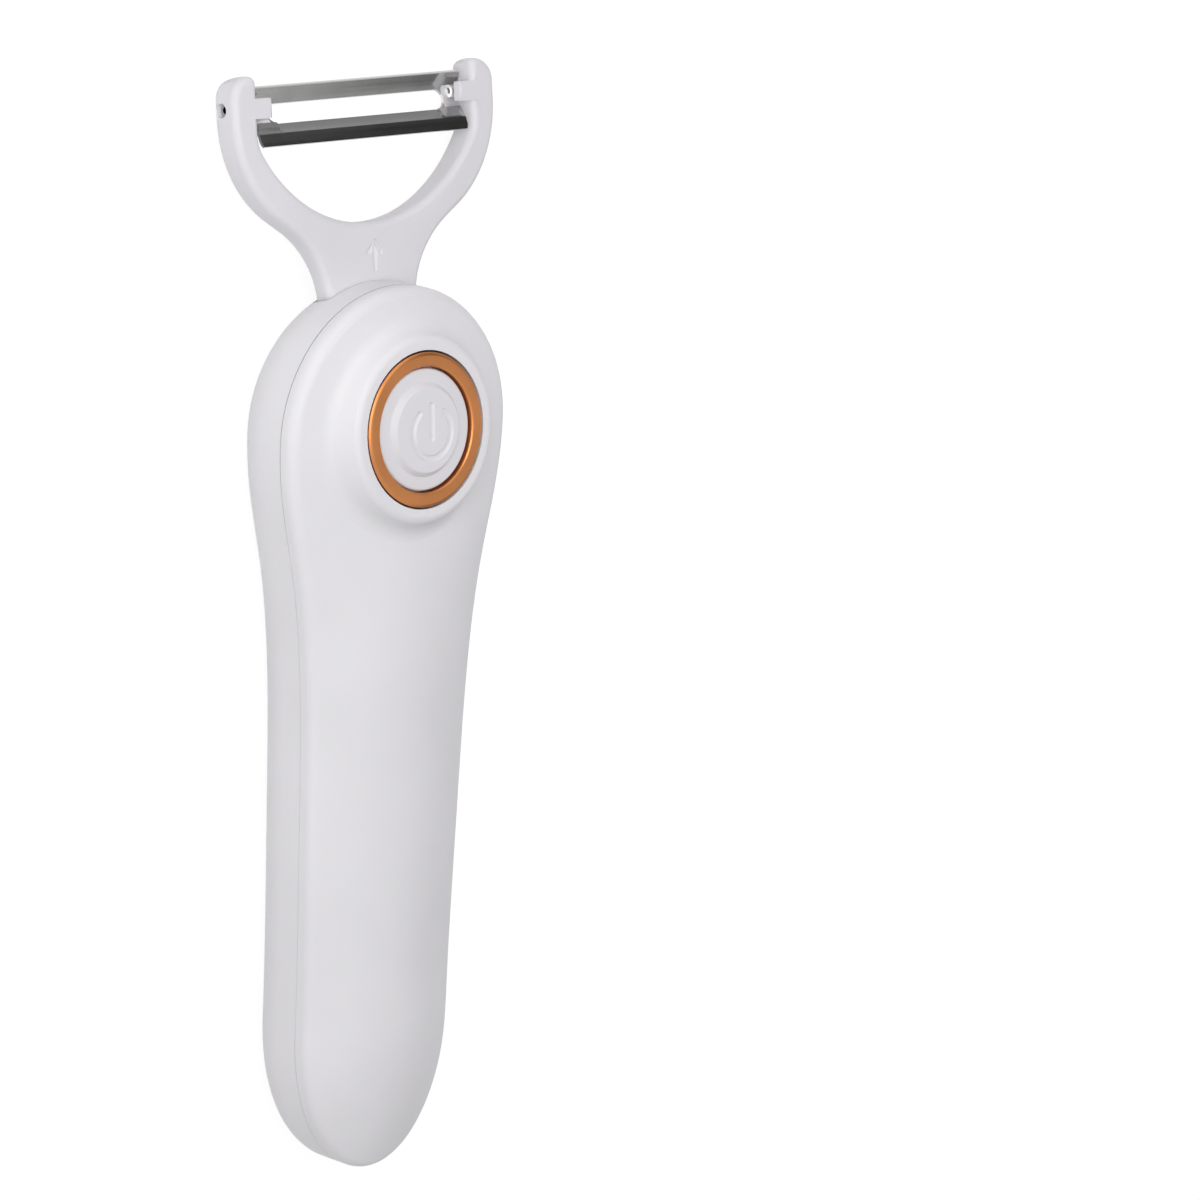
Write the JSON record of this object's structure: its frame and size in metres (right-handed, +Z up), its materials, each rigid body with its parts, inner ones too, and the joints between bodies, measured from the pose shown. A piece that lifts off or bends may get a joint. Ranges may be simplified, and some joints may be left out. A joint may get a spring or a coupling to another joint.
{
  "type": "electric potato peeler",
  "caption": "Cordless electric peeler: a Y-shaped yoke with a slotted swivel blade plugs into a rounded handle with a ringed power button.",
  "frame": {"origin": "centre of the overall box, at the height of its lowest point, with the peeler lying on its back", "axes": "+X across the width along the blade, +Y along the handle towards the cutting head, +Z up, the side of the power button"},
  "size_m": [0.0576, 0.1824, 0.0234],
  "materials": {
    "shell_white": "satin",
    "button_white": "satin",
    "head_white": "satin",
    "ring_copper": "satin copper colour",
    "blade_steel": "polished stamped stainless sheet",
    "silicone_grey": "soft silicone",
    "board_green": "solder mask",
    "screw_steel": "zinc plated",
    "switch_black": "moulded",
    "plunger_grey": "moulded",
    "nylon_grey": "moulded nylon",
    "motor_steel": "plated can",
    "end_cap_white": "moulded",
    "contact_brass": "stamped",
    "shaft_steel": "ground",
    "weight_metal": "sintered",
    "cell_wrap": "heat-shrink sleeve",
    "nickel_strip": "nickel strip",
    "foam_black": "foam",
    "port_steel": "drawn shell"
  },
  "bodies": {
    "handle": {"front_cover": "shell_white", "back_casing": "shell_white", "case_gasket": "silicone_grey", "accent_ring": "ring_copper", "button_seal": "silicone_grey", "circuit_board": "board_green", "board_screws": "screw_steel", "tact_switch": "switch_black", "head_socket": "nylon_grey", "socket_screws": "screw_steel", "motor_can": "motor_steel", "motor_end_cap": "end_cap_white", "motor_terminals": "contact_brass", "motor_clamp": "nylon_grey", "clamp_screws": "screw_steel", "battery_cell": "cell_wrap", "battery_tabs": "nickel_strip", "battery_pad": "foam_black", "charging_board": "board_green", "usb_socket": "port_steel", "usb_tongue": "switch_black"},
    "button": {"power_button": "button_white"},
    "plunger": {"switch_plunger": "plunger_grey"},
    "rotor": {"motor_shaft": "shaft_steel", "eccentric_weight": "weight_metal"},
    "head": {"head_yoke": "head_white"},
    "blade": {"swivel_blade": "blade_steel"}
  },
  "joints": [
    {"name": "button_press", "type": "slide", "parent": "handle", "child": "button", "axis": [0, -0.0802, -0.9968], "range_m": [0, 0.0005], "stiffness_N_per_m": 2500},
    {"name": "plunger_travel", "type": "slide", "parent": "handle", "child": "plunger", "axis": [0, -0.0802, -0.9968], "range_m": [0, 0.0005]},
    {"name": "motor_spin", "type": "hinge", "parent": "handle", "child": "rotor", "pos_m": [0, -0.01124, 0.0108], "axis": [0, 1, 0], "continuous": true},
    {"name": "head_release", "type": "slide", "parent": "handle", "child": "head", "axis": [0, 0.9916, -0.1297], "range_m": [0, 0.018]},
    {"name": "blade_swivel", "type": "hinge", "parent": "head", "child": "blade", "pos_m": [0, 0.0858, 0.00235], "axis": [1, 0, 0], "range_deg": [-22, 20]}
  ],
  "couplings": [
    {"joint": "plunger_travel", "follows": "button_press", "ratio": 1}
  ]
}
